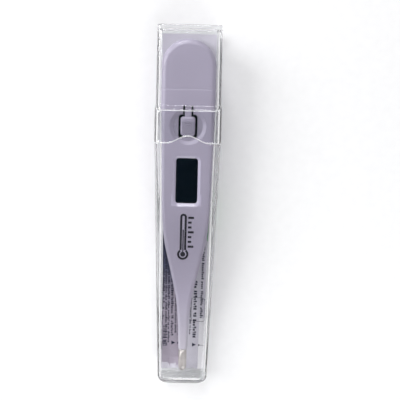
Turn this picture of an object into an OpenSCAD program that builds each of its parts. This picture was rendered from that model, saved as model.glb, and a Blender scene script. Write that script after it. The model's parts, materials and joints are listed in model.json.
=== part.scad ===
// Digital clinical thermometer lying in its clear two-piece storage case, with a folded leaflet behind it.
// The closed case rests on its back. +Z is the display side and +Y points to the cap end.
// X = 0 is the plane of symmetry and Y = 0 is the middle of the closed case.

/* [Case] */
// Overall length of the closed case
case_len = 137; // [136:0.5:142]
// Width over the skirt of the cap
case_w = 25; // [25:0.1:25.6]
// Height over the skirt of the cap
case_h = 16; // [16:0.1:17]
// Width of the case base at its closed end
base_end_w = 19; // [18.9:0.1:20]
// Height of the case base at its closed end
base_end_h = 13.2; // [13:0.1:14]
// Wall of the thin places: the neck of the base and the skirt of the cap
thin_wall = 0.9; // [0.8:0.05:0.95]
// Height of the thumb arch in the edge of the skirt
arch_h = 2.7; // [1.5:0.1:3.5]

/* [Thermometer] */
// Length from the end of the battery cover to the end of the metal tip
body_len = 127.3; // [126.5:0.1:128]
// Greatest width of the body
body_w = 20.8; // [20.4:0.1:20.8]
// Thickness of the body
body_t = 10; // [9.9:0.05:10]
// Wall of the moulded body
body_wall = 1.25; // [1.2:0.05:1.3]
// Length of the battery cover that shows
cover_len = 18.7; // [18.3:0.1:19]
// Radius along the edges of the body
edge_r = 2.2; // [2:0.1:2.4]

/* [Display] */
// Width of the display window
window_w = 8.2; // [7.8:0.1:8.4]
// Length of the display window
window_l = 17; // [16.5:0.1:17.4]

/* [Power key] */
// Width of the key
key_w = 5.5; // [5.3:0.1:5.8]
// Length of the key, without its tongue
key_l = 7.1; // [6.9:0.1:7.1]
// Diameter of the dished finger recess round the key
dish_d = 13.8; // [13.6:0.1:14.2]

/* [Probe] */
// Diameter of the metal tip
tip_d = 3.1; // [3:0.05:3.2]
// Length of the metal tip that shows
tip_l = 8.5; // [8:0.1:9]
// Diameter of the plastic collar behind the metal tip
collar_d = 3.4; // [3.35:0.05:3.6]

/* [Hidden] */
$fn = 48;
eps = 0.01;
gap = 0.05;             // between parts that are assembled with a close fit
slip = 0.1;             // between parts that slide over each other

// Case: stations along Y
case_end = case_len / 2;
rim_y = 36.8;           // rim of the neck of the base
step_y = 38.9;          // where the cap starts to widen into its skirt
step_l = 1.6;           // length of that step
skirt_y = 24.5;         // edge of the skirt, beside the arch
arch_w = 16;            // width of the thumb arch
case_r = 1.5;           // radius along the long edges of the case
foot_r = 3.4;           // radius round the closed end of the base
floor_z = 1.95;         // inner face of the back wall of the base
neck_in_w = case_w - 4 * thin_wall - 2 * slip + 0.1;   // inner width of the neck at its rim
neck_out_w = neck_in_w + 2 * thin_wall - 0.1;
neck_in_z = case_h - floor_z + 0.1;                     // inner face of the front wall at the rim
neck_out_z = neck_in_z + thin_wall - 0.05;
cavity_end_w = base_end_w - 2.4;
cavity_end_z = base_end_h - 1.4;
cavity_end_y = 1.8 - case_end;
cap_in_w = neck_in_w + 1;
cap_side = 0.35;        // how far the skirt stands out from the sides of the cap
cap_face = 0.6;         // how far the skirt stands out from the front and back of the cap
cap_end_wall = 1.6;

// Thermometer: stations along Y
zc = floor_z + 0.8 + body_t / 2;    // middle plane of the body
front_z = zc + body_t / 2;
end_y = body_len / 2 - 0.25;        // end of the battery cover
tip_y = end_y - body_len;           // end of the metal tip
part_y = end_y - cover_len;         // parting line of body and battery cover
collar_y = tip_y + tip_l;           // end of the plastic collar
end_r = body_w / 2;                 // the round end of the battery cover
// Outline of the body: station Y, then half width and half thickness as shares of the greatest ones
outline = [
    [collar_y, collar_d / body_w, collar_d / body_t],
    [-45, 0.200, 0.42],
    [-38, 0.258, 0.50],
    [-32, 0.352, 0.60],
    [-26, 0.482, 0.71],
    [-20, 0.618, 0.81],
    [-14, 0.745, 0.89],
    [-8, 0.835, 0.95],
    [0, 0.905, 0.99],
    [10, 0.940, 1],
    [30, 0.980, 1],
    [part_y, 1, 1]];
cavity_tip_y = -22;     // where the hollow of the body ends and the bore of the stem starts
bore_r = 1;             // bore of the stem, for the lead wires
shank_r = tip_d / 2 - 0.25;
shank_l = 3.2;          // length of the metal tip inside the collar

// Display, from the outside in
window_y = 10.4;
lens_top = front_z - 0.45;
lens_t = 0.45;
tape_t = 0.1;
window_r = 1.1;
bezel = 0.85;           // width of the sloped frame round the window

// Key
dish_y = 30.8;
dish_depth = 0.75;
dish_rim = 1.3;         // width of the sloped rim of the dish
key_y = 27.3;           // free end of the key
key_slot = 0.8;         // slot round the key
tongue_w = 2.5;
hinge_y = 38.3;         // root of the tongue
key_top = front_z - 0.2;
key_t = 1.3;

// Inside
board_top = zc - 0.25;
board_t = 0.6;
board_y = [-8, 45];
cell_d = 7.9;           // LR41 button cell
cell_h = 3.6;
cell_y = 50.7;
cell_z = zc - 1.6;
holder_z = [zc - 2.45, zc + 1.95];
spigot_l = 5.5;
spigot_w = body_w - 2 * body_wall - 0.5;
spigot_h = body_t - 2 * body_wall - 0.3;
spigot_wall = 1;
seal_y = part_y - 3.5;
seal_w = 1;
dome_y = 29.6;
buzzer_y = 31;
lcd_y = [-0.6, 21.6];
lcd_w = 11;
lcd_top = front_z - 1.45;
glass_t = 0.55;

clear_styrene = [0.86, 0.88, 0.90, 0.35];
pale_plastic = [0.80, 0.78, 0.85];
pale_paper = [0.80, 0.76, 0.84];
steel = [0.78, 0.77, 0.76];

// ---- Lofted shapes: rings of a rounded rectangle across Y ----

corner_steps = 5;

// One ring: half width, lowest and highest Z, and the radius of its corners
function ring(y, half_w, z0, z1, r) = [
    for (c = [0:3], i = [0:corner_steps])
        let (
            a = 90 * c + 90 * i / corner_steps,
            x = half_w - r,
            side = (c == 0 || c == 3) ? 1 : -1,
            z = c < 2 ? z1 - r : z0 + r)
        [side * x + r * cos(a), y, z + r * sin(a)]];

// A closed solid through rings that all have the same number of points, in order of rising Y
module loft(rings) {
    m = len(rings[0]);
    last = (len(rings) - 1) * m;
    sides = [
        for (i = [0:len(rings) - 2], j = [0:m - 1])
            let (a = i * m + j, b = i * m + (j + 1) % m)
            each [[a, b, b + m], [a, b + m, a + m]]];
    polyhedron(
        points = [for (one = rings) each one],
        faces = concat(sides, [[for (j = [m - 1:-1:0]) j], [for (j = [0:m - 1]) last + j]]));
}

// Rings that round off a closed end at its lowest Y, with radius r
function rounded_end(y, half_w, z0, z1, edge, r, steps = 4) = [
    for (i = [0:steps])
        let (a = 90 * i / steps, inset = r * (1 - sin(a)))
        ring(y + r * (1 - cos(a)), half_w - inset, z0 + inset, z1 - inset, max(edge, r - inset * 0.5))];

// A smooth curve through column k of a table whose first column rises
function slope(t, i, k) =
    let (a = max(i - 1, 0), b = min(i + 1, len(t) - 1))
    (t[b][k] - t[a][k]) / (t[b][0] - t[a][0]);
function interval(t, y, i = 0) = (i >= len(t) - 2 || y < t[i + 1][0]) ? i : interval(t, y, i + 1);
function curve(t, y, k) =
    let (
        i = interval(t, y),
        h = t[i + 1][0] - t[i][0],
        s = (y - t[i][0]) / h)
    t[i][k] * (1 + 2 * s) * (1 - s) * (1 - s) + t[i + 1][k] * s * s * (3 - 2 * s)
    + h * slope(t, i, k) * s * (1 - s) * (1 - s) - h * slope(t, i + 1, k) * s * s * (1 - s);

// A ring of the body, drawn in by inset, with almost round sections towards the probe
function body_ring(y, inset = 0) =
    let (
        half_w = curve(outline, y, 1) * body_w / 2 - inset,
        half_t = curve(outline, y, 2) * body_t / 2 - inset,
        share = min(1, max(0, (-y - 5) / 40)))
    ring(y, half_w, zc - half_t, zc + half_t,
        max(0.5, min(edge_r * (1 + share) - inset, 0.96 * min(half_w, half_t))));

// ---- Flat outlines that more than one part uses ----

// A rectangle with true arcs at its corners, centred on the origin
module rounded_rect(w, l, r) {
    union() {
        square([w - 2 * r, l], center = true);
        square([w, l - 2 * r], center = true);
        for (x = [-1, 1], y = [-1, 1]) translate([x * (w / 2 - r), y * (l / 2 - r)]) circle(r);
    }
}

// A bar of that section along Y, between y0 and y1
module bar(w, h, r, y0, y1) {
    translate([0, y1, zc]) rotate([90, 0, 0]) linear_extrude(y1 - y0) rounded_rect(w, h, r);
}

module plate(w, l, r, y, z0, z1) {
    translate([0, y, z0]) linear_extrude(z1 - z0) rounded_rect(w, l, r);
}

// Everything towards the probe from the wavy edge of the skirt, moved along Y by shift
module below_wave(shift = 0) {
    steps = 16;
    wave = [
        for (i = [0:steps])
            let (x = arch_w * (i / steps - 0.5))
            [x, skirt_y + shift + arch_h * (1 + cos(360 * x / arch_w)) / 2]];
    translate([0, 0, -1]) linear_extrude(case_h + 2)
        polygon(concat(
            [[-case_w, -case_len], [-case_w, skirt_y + shift]], wave,
            [[case_w, skirt_y + shift], [case_w, -case_len]]));
}

// ---- Storage case ----

module case_base() {
    shoulder = skirt_y + arch_h + 1;
    taper = function (end, top, y) end + (top - end) * (y + case_end) / (shoulder + case_end);
    inner = function (end, top, y) end + (top - end) * (y - cavity_end_y) / (rim_y - cavity_end_y);
    color(clear_styrene) difference() {
        union() {
            intersection() {
                loft(concat(
                    rounded_end(-case_end, taper(base_end_w, case_w - 0.1, foot_r - case_end) / 2, 0,
                        taper(base_end_h, case_h, foot_r - case_end), case_r, foot_r),
                    [ring(shoulder, case_w / 2 - 0.05, 0, case_h, case_r)]));
                below_wave(-gap);
            }
            loft([
                ring(skirt_y - 1, neck_out_w / 2, floor_z - thin_wall, neck_out_z, case_r - 0.3),
                ring(rim_y, neck_out_w / 2, floor_z - thin_wall, neck_out_z, case_r - 0.3)]);
        }
        loft(concat(
            rounded_end(cavity_end_y, inner(cavity_end_w, neck_in_w, cavity_end_y + 1.2) / 2, floor_z,
                inner(cavity_end_z, neck_in_z, cavity_end_y + 1.2), 1, 1.2),
            [ring(rim_y, neck_in_w / 2, floor_z, neck_in_z, 1),
             ring(rim_y + 1, neck_in_w / 2, floor_z, neck_in_z, 1)]));
    }
}

module case_cap() {
    cap_w = case_w - 2 * cap_side;
    in_w = neck_out_w + 2 * slip;
    in_z = [floor_z - thin_wall - slip, neck_out_z + slip];
    color(clear_styrene) difference() {
        loft([
            ring(skirt_y - 1, case_w / 2, 0, case_h, case_r),
            ring(step_y - step_l, case_w / 2, 0, case_h, case_r),
            ring(step_y, cap_w / 2, cap_face, case_h - cap_face, case_r),
            ring(case_end - 0.5, cap_w / 2 - 0.1, cap_face, case_h - cap_face, case_r),
            ring(case_end, cap_w / 2 - 0.5, cap_face + 0.4, case_h - cap_face - 0.4, case_r)]);
        loft([
            ring(skirt_y - 2, in_w / 2, in_z[0], in_z[1], case_r - 0.25),
            ring(rim_y + slip, in_w / 2, in_z[0], in_z[1], case_r - 0.25)]);
        loft([
            ring(rim_y, cap_in_w / 2, cap_face + 1.1, case_h - cap_face - 1.1, 1),
            ring(case_end - cap_end_wall - 1, cap_in_w / 2 - 0.1, cap_face + 1.1, case_h - cap_face - 1.1, 1),
            ring(case_end - cap_end_wall, cap_in_w / 2 - 1, cap_face + 2, case_h - cap_face - 2, 1)]);
        below_wave();
    }
}

// Folded instruction sheet along the back wall
module leaflet() {
    low = cavity_end_y + 2.2;
    high = case_end - 2.9;
    half_low = cavity_end_w / 2 - 0.95;
    half_high = cap_in_w / 2 - 0.5;
    color(pale_paper) translate([0, 0, floor_z + 0.1]) linear_extrude(0.55)
        polygon([[-half_low, low], [half_low, low], [half_high, high], [-half_high, high]]);
}

// ---- Thermometer body ----

module key_opening(z0, z1) {
    width = key_w + 2 * key_slot;
    length = key_l + 2 * key_slot;
    translate([0, 0, z0]) linear_extrude(z1 - z0) union() {
        translate([0, key_y - key_slot + length / 2]) rounded_rect(width, length, 1.2);
        translate([-tongue_w / 2 - 0.65, key_y + key_l]) square([tongue_w + 1.3, hinge_y - key_y - key_l]);
    }
}

module window_opening() {
    plate(window_w + 2 * gap, window_l + 2 * gap, window_r, window_y, lens_top - lens_t - tape_t, front_z + 1);
    plate(window_w - 0.8, window_l - 0.8, 0.8, window_y, zc, front_z);
    hull() {
        plate(window_w + 2 * gap, window_l + 2 * gap, window_r, window_y, lens_top, lens_top + eps);
        plate(window_w + 2 * bezel, window_l + 2.5 * bezel, 2, window_y - 0.35, front_z, front_z + 0.5);
    }
}

// One moulding: hollow body, solid shoulder and hollow stem
module housing() {
    ys = [for (i = [0:22]) collar_y + (part_y - gap - collar_y) * i / 22];
    hollow = [for (i = [0:12]) cavity_tip_y + (part_y + 1 - cavity_tip_y) * i / 12];
    color(pale_plastic) difference() {
        loft([for (y = ys) body_ring(y)]);
        loft([for (y = hollow) body_ring(min(y, part_y), body_wall)]);
        translate([0, cavity_tip_y + 1, zc]) rotate([90, 0, 0]) cylinder(r = bore_r, h = 40);
        translate([0, collar_y + shank_l + gap, zc]) rotate([90, 0, 0])
            cylinder(r = shank_r + 0.02, h = shank_l + 1);
        translate([0, dish_y, front_z - dish_depth])
            cylinder(r1 = dish_d / 2 - dish_rim, r2 = dish_d / 2, h = dish_depth + eps);
        key_opening(zc, front_z + 1);
        window_opening();
    }
}

module display_lens() {
    color([0.02, 0.05, 0.07, 0.9])
        plate(window_w, window_l, window_r, window_y, lens_top - lens_t, lens_top);
}

// Black adhesive frame that holds the lens on its ledge
module lens_tape() {
    color([0.03, 0.03, 0.03]) difference() {
        plate(window_w - 0.1, window_l - 0.1, 1, window_y, lens_top - lens_t - tape_t, lens_top - lens_t);
        plate(window_w - 0.8, window_l - 0.8, 0.8, window_y, lens_top - 1, lens_top);
    }
}

// A disc with rounded edges, lying flat
module pill_disc(r, h, edge) {
    rotate_extrude($fn = 32) union() {
        square([r - edge, h], center = false);
        translate([0, edge]) square([r, h - 2 * edge]);
        for (z = [edge, h - edge]) translate([r - edge, z]) circle(edge, $fn = 20);
    }
}

// The round-ended shape of the battery cover, drawn in by inset
module cover_shape(inset, y0) {
    h = body_t - 2 * inset;
    edge = edge_r - inset * 0.8;
    intersection() {
        hull() {
            translate([0, end_y - end_r, zc - h / 2]) pill_disc(end_r - inset, h, edge);
            bar(body_w - 2 * inset, h, edge, y0, y0 + 1, $fn = 32);
        }
        translate([-body_w, y0, 0]) cube([2 * body_w, body_len, case_h]);
    }
}

module battery_cover() {
    color(pale_plastic) difference() {
        union() {
            difference() {
                cover_shape(0, part_y);
                cover_shape(body_wall, part_y - 2);
            }
            difference() {
                bar(spigot_w, spigot_h, 1.1, part_y - spigot_l, part_y + 1.2);
                bar(body_w, body_t + 1, 1, part_y + 0.6, part_y + 1.3);
            }
            difference() {
                bar(body_w - 2 * body_wall + 0.4, body_t - 2 * body_wall + 0.4, 1.2, part_y + eps, part_y + 0.6);
                bar(spigot_w - 0.2, spigot_h - 0.2, 1, part_y - 1, part_y + 1);
            }
        }
        bar(spigot_w - 2 * spigot_wall, spigot_h - 2 * spigot_wall, 0.6, part_y - spigot_l - 1, part_y + 2);
        difference() {
            bar(body_w, body_t, 1, seal_y - gap, seal_y + seal_w + gap);
            bar(spigot_w - 0.8, spigot_h - 0.8, 0.9, seal_y - 1, seal_y + seal_w + 1);
        }
    }
}

module cover_seal() {
    color([0.15, 0.15, 0.16]) difference() {
        bar(spigot_w + 0.3, spigot_h + 0.15, 1.1, seal_y, seal_y + seal_w);
        bar(spigot_w - 0.8, spigot_h - 0.8, 0.9, seal_y - 1, seal_y + seal_w + 1);
    }
}

// Key and tongue are one flap. The tongue bends at its root, which the hinge stands for.
module power_key() {
    z0 = key_top - key_t;
    color(pale_plastic) union() {
        plate(key_w, key_l, 1, key_y + key_l / 2, z0, key_top - 0.3);
        hull() {
            plate(key_w, key_l, 1, key_y + key_l / 2, key_top - 0.31, key_top - 0.3);
            plate(key_w - 0.6, key_l - 0.6, 0.9, key_y + key_l / 2, key_top - eps, key_top);
        }
        for (y = [4, 5]) translate([-1.2, key_y + y - 0.15, key_top - 0.1]) cube([2.4, 0.3, 0.2]);
        translate([-tongue_w / 2, key_y + key_l - 0.5, key_top - key_t])
            cube([tongue_w, hinge_y - key_y - key_l + 0.5 - gap, 0.85]);
        translate([0, dome_y, board_top + 0.6]) cylinder(d = 2.2, h = z0 - board_top - 0.5);
    }
}

// ---- Probe ----

// The metal tip is one thin drawn cap with a narrower shank
module probe_tip() {
    r = tip_d / 2;
    wall = 0.2;
    module outline_of(off, shank, length) {
        union() {
            translate([0, r]) intersection() {
                circle(r - off);
                translate([0, -r]) square([r, r]);
            }
            translate([0, r - eps]) square([r - off, tip_l - r + eps - off]);
            translate([0, tip_l - off - eps]) square([shank, length + off + eps]);
        }
    }
    color(steel) translate([0, tip_y, zc]) rotate([-90, 0, 0]) rotate_extrude() difference() {
        outline_of(0, shank_r, shank_l);
        outline_of(wall, shank_r - wall, shank_l + 1);
    }
}

bead_y = tip_y + 2.6;
bead_r = 0.65;
bead_half = 0.7;
wire_r = 0.2;
wire_x = 0.42;

module thermistor_bead() {
    color([0.25, 0.12, 0.08]) translate([0, bead_y, zc]) rotate([90, 0, 0]) union() {
        cylinder(r = bead_r, h = 2 * bead_half, center = true);
        for (z = [-1, 1]) translate([0, 0, z * bead_half]) sphere(bead_r);
    }
}

// Resin that fills the tip round the bead
module tip_potting() {
    r = tip_d / 2 - 0.2 - eps;
    color([0.75, 0.70, 0.60]) difference() {
        translate([0, tip_y + tip_d / 2, zc]) rotate([-90, 0, 0]) union() {
            cylinder(r = r, h = 4.5);
            intersection() {
                sphere(r);
                translate([-r, -r, -r]) cube([2 * r, 2 * r, r + eps]);
            }
        }
        thermistor_bead();
        for (x = [-wire_x, wire_x]) translate([x, bead_y, zc]) rotate([-90, 0, 0]) cylinder(r = wire_r, h = 9);
    }
}

// Two enamelled wires from the board through the stem to the bead
module lead_wires() {
    pad_z = board_top + wire_r + eps;
    path = [
        [bead_y + bead_half + 0.62, wire_x, zc], [-18, wire_x, zc], [-15.5, wire_x + 0.06, zc], [-13, 0.65, zc - 0.02],
        [-9, 1.4, pad_z + 0.03], [-7.4, 1.6, pad_z], [-5, 1.6, pad_z]];
    color([0.70, 0.35, 0.15]) union() {
        for (s = [-1, 1]) loft([
            for (p = path) [for (a = [0:45:315]) [s * p[1] + wire_r * cos(a), p[0], p[2] + wire_r * sin(a)]]]);
    }
}

// ---- Electronics ----

// Plastic carrier: a tray under the board and the holder of the cell at its end
module chassis() {
    tray = [zc - 2.1, board_top - board_t];
    wide = 6.6;
    narrow = 5.2;
    color([0.88, 0.87, 0.84]) difference() {
        union() {
            translate([0, 0, tray[0]]) linear_extrude(tray[1] - tray[0])
                polygon([[-narrow, -7.8], [narrow, -7.8], [wide, 8], [wide, 46.5], [-wide, 46.5], [-wide, 8]]);
            translate([-wide, board_y[1] + 0.1, holder_z[0]])
                cube([2 * wide, cell_y + 5.2 - board_y[1] - 0.1, holder_z[1] - holder_z[0]]);
            for (x = [-5, 5], y = [19, 38.3]) translate([x, y, zc - body_t / 2 + body_wall + 0.02])
                cylinder(r = 0.8, h = body_t / 2 - body_wall - 1.5);
        }
        translate([0, cell_y, cell_z - 0.2]) cylinder(d = cell_d + 0.3, h = 10);
        translate([-cell_d / 2 - 0.15, cell_y, cell_z - 0.2]) cube([cell_d + 0.3, 10, 10]);
        translate([-4.2, 5, 0]) cube([8.4, 12, 20]);
        translate([0, buzzer_y, 0]) cylinder(d = 5, h = 20);
        for (x = [-1, 1]) translate([x * 5.2, 38, 0]) cylinder(r = 0.62, h = 20);
        translate([-1.3, board_y[1] - 1, cell_z - 0.2]) cube([2.6, 3, 6]);
    }
}

module circuit_board() {
    wide = 6.9;
    narrow = 5.4;
    color([0.10, 0.35, 0.20]) difference() {
        translate([0, 0, board_top - board_t]) linear_extrude(board_t)
            polygon([[-narrow, board_y[0]], [narrow, board_y[0]], [wide, 8], [wide, board_y[1]],
                [-wide, board_y[1]], [-wide, 8]]);
        for (x = [-1, 1]) translate([x * 5.2, 38, 0]) cylinder(r = 0.65, h = 20);
    }
}

module board_screws() {
    color(steel) for (x = [-1, 1]) translate([x * 5.2, 38, 0]) difference() {
        union() {
            translate([0, 0, zc - 2]) cylinder(r = 0.58, h = board_top - zc + 2.1);
            translate([0, 0, board_top]) cylinder(d1 = 2.3, d2 = 1.9, h = 0.7);
        }
        for (a = [0, 90]) translate([0, 0, board_top + 0.7]) rotate(a) cube([1.5, 0.25, 0.7], center = true);
    }
}

module lcd_frame() {
    top = lcd_top - glass_t / 2;
    color([0.85, 0.85, 0.86]) difference() {
        translate([-6.5, lcd_y[0] - 1.4, board_top + 0.02]) cube([13, lcd_y[1] - lcd_y[0] + 4.8, top - board_top]);
        translate([-lcd_w / 2 - gap, lcd_y[0] - gap, 0]) cube([lcd_w + 2 * gap, lcd_y[1] - lcd_y[0] + 2.1, 20]);
    }
}

module lcd_front_glass() {
    color([0.55, 0.60, 0.55, 0.6]) translate([-lcd_w / 2, lcd_y[0], lcd_top - glass_t])
        cube([lcd_w, lcd_y[1] - lcd_y[0] + 2, glass_t]);
}

module lcd_rear_glass() {
    color([0.50, 0.55, 0.50, 0.6]) translate([-lcd_w / 2, lcd_y[0], lcd_top - 2 * glass_t - eps])
        cube([lcd_w, lcd_y[1] - lcd_y[0], glass_t]);
}

module lcd_reflector() {
    color([0.60, 0.62, 0.58]) translate([-lcd_w / 2 + 0.3, lcd_y[0] + 0.3, lcd_top - 2 * glass_t - 0.18])
        cube([lcd_w - 0.6, lcd_y[1] - lcd_y[0] - 0.6, 0.15]);
}

// Layered rubber contact between the board and the ledge of the front glass
module zebra_strips() {
    z0 = board_top + 0.02;
    layers = 5;
    depth = 1.7 / layers;
    color([0.75, 0.45, 0.55]) for (i = [0:2:layers - 1])
        translate([-5, lcd_y[1] + 0.1 + i * depth, z0]) cube([10, depth, lcd_top - glass_t - eps - z0]);
}

module controller_blob() {
    color([0.04, 0.04, 0.04]) translate([0, 11, board_top - board_t]) intersection() {
        translate([0, 0, 6]) sphere(7.2, $fn = 120);
        translate([-4, -4, -1.2 - eps]) cube([8, 8, 1.2]);
    }
}

// Chip resistors and capacitors beside the display and behind the lead pads
module chip_parts() {
    places = [[-4, -5.5], [4, -5.5], [-3.4, -3.2], [3.4, -3.2], [-5, 26.6], [5, 26.6], [-5, 34.6], [5, 34.6]];
    color([0.30, 0.25, 0.20]) for (p = places)
        translate([p[0] - 0.8, p[1] - 0.4, board_top + eps]) cube([1.6, 0.8, 0.5]);
}

// Snap disc under the key
module switch_dome() {
    radius = 3;
    rise = 0.4;
    thick = 0.12;
    steps = 6;
    function profile(z) = [for (i = [0:steps]) let (x = radius * i / steps) [x, z + rise * (1 - x * x / radius / radius)]];
    under = profile(0);
    color(steel) translate([0, dome_y, board_top + eps]) rotate_extrude()
        polygon(concat(under, [for (i = [steps:-1:0]) under[i] + [0, thick]]));
}

module buzzer_plate() {
    color([0.80, 0.65, 0.30]) translate([0, buzzer_y, zc - body_t / 2 + body_wall + gap]) cylinder(d = 12, h = 0.2);
}

module buzzer_ceramic() {
    color([0.85, 0.84, 0.78])
        translate([0, buzzer_y, zc - body_t / 2 + body_wall + gap + 0.2 + eps]) cylinder(d = 9, h = 0.2);
}

// Conical contact spring between the buzzer and the board
module buzzer_spring() {
    z0 = zc - body_t / 2 + body_wall + gap + 0.42 + 0.16;
    z1 = board_top - board_t - 0.17;
    turns = 4;
    steps = 12;
    sides = 6;
    wire = 0.15;
    count = turns * steps;
    points = [
        for (i = [0:count], j = [0:sides - 1])
            let (
                s = i / count,
                a = 360 * turns * s,
                b = 360 * j / sides,
                r = 1.5 - 0.5 * s + wire * cos(b))
            [r * cos(a), buzzer_y + r * sin(a), z0 + (z1 - z0) * s + wire * sin(b)]];
    faces = [
        for (i = [0:count - 1], j = [0:sides - 1])
            let (a = i * sides + j, b = i * sides + (j + 1) % sides)
            each [[a, b + sides, b], [a, a + sides, b + sides]]];
    color(steel) polyhedron(
        points = points,
        faces = concat(faces, [[for (j = [0:sides - 1]) j], [for (j = [sides - 1:-1:0]) count * sides + j]]));
}

module button_cell() {
    color([0.75, 0.76, 0.78]) translate([0, cell_y, cell_z]) union() {
        cylinder(d = 6.4, h = 0.5);
        translate([0, 0, 0.4]) cylinder(d = cell_d, h = cell_h - 0.4);
    }
}

// Strip under the cell, with an end that stands up to the board
module negative_contact() {
    z = cell_z - 0.19;
    color([0.80, 0.78, 0.70]) translate([-1.2, board_y[1] - 0.8, z]) union() {
        cube([2.4, 8, 0.17]);
        cube([2.4, 0.2, board_top - board_t - gap - z]);
    }
}

// Strip over the top of the cell, with a leg that stands on the board
module positive_contact() {
    top = cell_z + cell_h + 0.22;
    color([0.80, 0.78, 0.70]) translate([-1.3, board_y[1] - 2.5, board_top + eps]) difference() {
        cube([2.6, 6.5, top - board_top]);
        translate([-1, 0.2, -1]) cube([5, 7, top - board_top + 0.83]);
    }
}

case_base();
case_cap();
leaflet();
housing();
display_lens();
lens_tape();
battery_cover();
cover_seal();
power_key();
chassis();
circuit_board();
lcd_frame();
lcd_front_glass();
lcd_rear_glass();
lcd_reflector();
zebra_strips();
controller_blob();
chip_parts();
switch_dome();
buzzer_plate();
buzzer_ceramic();
buzzer_spring();
button_cell();
positive_contact();
negative_contact();
board_screws();
lead_wires();
thermistor_bead();
tip_potting();
probe_tip();
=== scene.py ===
"""Looks for the digital thermometer in its clear storage case.

Lengths are worked out in millimetres in the frame's axes. finish_piece scales each piece to metres.
"""

import json
import math
import random

import bmesh
import bpy
import numpy as np
from mathutils import Matrix, Vector


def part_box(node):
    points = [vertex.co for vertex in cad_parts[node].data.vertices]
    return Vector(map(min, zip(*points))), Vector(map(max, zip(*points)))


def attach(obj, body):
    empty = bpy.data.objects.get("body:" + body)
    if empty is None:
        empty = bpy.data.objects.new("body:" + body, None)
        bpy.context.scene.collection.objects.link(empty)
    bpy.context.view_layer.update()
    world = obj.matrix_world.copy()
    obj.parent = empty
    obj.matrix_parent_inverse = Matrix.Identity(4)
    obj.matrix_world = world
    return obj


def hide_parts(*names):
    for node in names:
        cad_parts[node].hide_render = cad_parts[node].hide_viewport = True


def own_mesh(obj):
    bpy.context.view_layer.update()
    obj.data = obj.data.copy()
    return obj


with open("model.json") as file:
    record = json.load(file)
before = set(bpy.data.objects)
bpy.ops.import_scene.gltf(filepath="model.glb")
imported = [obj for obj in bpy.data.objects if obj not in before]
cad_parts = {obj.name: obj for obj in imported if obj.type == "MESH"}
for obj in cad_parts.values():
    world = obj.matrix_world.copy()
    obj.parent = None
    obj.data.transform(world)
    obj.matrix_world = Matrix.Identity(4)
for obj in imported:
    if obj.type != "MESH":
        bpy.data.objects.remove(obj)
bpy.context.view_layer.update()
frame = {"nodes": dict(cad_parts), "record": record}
MM = 0.001
scene = bpy.context.scene
random.seed(7)


def box_mm(node):
    low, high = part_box(node)
    return np.array(low) / MM, np.array(high) / MM


# -------- sizes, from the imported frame

base_lo, base_hi = box_mm("case_base")
cap_lo, cap_hi = box_mm("case_cap")
body_lo, body_hi = box_mm("housing")
cover_lo, cover_hi = box_mm("battery_cover")
key_lo, key_hi = box_mm("power_key")
dome_lo, dome_hi = box_mm("switch_dome")
lens_lo, lens_hi = box_mm("display_lens")
tip_lo, tip_hi = box_mm("probe_tip")
sheet_lo, sheet_hi = box_mm("leaflet")

CASE_END = cap_hi[1]
CASE_W = cap_hi[0] - cap_lo[0]
CASE_H = cap_hi[2]
FOOT = base_lo[1]  # the closed end of the base
RIM_Y = base_hi[1]  # the mouth of its neck
SKIRT_Y = cap_lo[1]  # the edge of the cap's skirt
ARCH_W, ARCH_H = 16.0, 2.7
WALL = 0.9

ZC = (body_lo[2] + body_hi[2]) / 2
BODY_T = body_hi[2] - body_lo[2]
BODY_W = body_hi[0] - body_lo[0]
FRONT = body_hi[2]
COLLAR_Y = body_lo[1]
PART_Y = body_hi[1] + 0.05
END_Y = cover_hi[1]
TIP_Y = tip_lo[1]
BODY_WALL = 1.25
EDGE_R = 2.2
KEY_W, KEY_L, KEY_GAP = 5.5, 7.1, 0.8  # the key's pad and the slot round it
STEM_Y = 29.6  # the key's stem, over the snap disc
HINGE_Y = 38.3  # the root of the key's tongue
DISH_Y, DISH_FLOOR_R, DISH_DEPTH = 30.8, 5.75, 0.75  # the finger recess round the key
DISC_Y = (dome_lo[1] + dome_hi[1]) / 2
LENS_W, LENS_L = lens_hi[0] - lens_lo[0], lens_hi[1] - lens_lo[1]
LENS_Y = (lens_lo[1] + lens_hi[1]) / 2


# -------- mesh helpers

def build(name, verts, faces):
    """A new mesh object in millimetres, with its normals facing out."""
    mesh = bpy.data.meshes.new(name)
    mesh.from_pydata([tuple(map(float, v)) for v in verts], [], faces)
    bm = bmesh.new()
    bm.from_mesh(mesh)
    bmesh.ops.recalc_face_normals(bm, faces=bm.faces)
    bm.to_mesh(mesh)
    bm.free()
    obj = bpy.data.objects.new(name, mesh)
    scene.collection.objects.link(obj)
    return obj


def skin(rings):
    """Vertices and faces of a solid through rings of the same length, with its two end faces last."""
    n, m = len(rings[0]), len(rings)
    verts = [p for one in rings for p in one]
    faces = []
    for i in range(m - 1):
        for j in range(n):
            a, b = i * n + j, i * n + (j + 1) % n
            faces.append((a, b, b + n, a + n))
    faces.append(tuple(range(n - 1, -1, -1)))
    faces.append(tuple((m - 1) * n + j for j in range(n)))
    return verts, faces


def apply_boolean(obj, cutter, operation="DIFFERENCE"):
    """Cuts the cutter from the object, or joins it on, and deletes the cutter."""
    mod = obj.modifiers.new("cut", "BOOLEAN")
    mod.object, mod.operation, mod.solver = cutter, operation, "EXACT"
    graph = bpy.context.evaluated_depsgraph_get()
    mesh = bpy.data.meshes.new_from_object(obj.evaluated_get(graph))
    obj.modifiers.clear()
    obj.data = mesh
    bpy.data.objects.remove(cutter)


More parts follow.
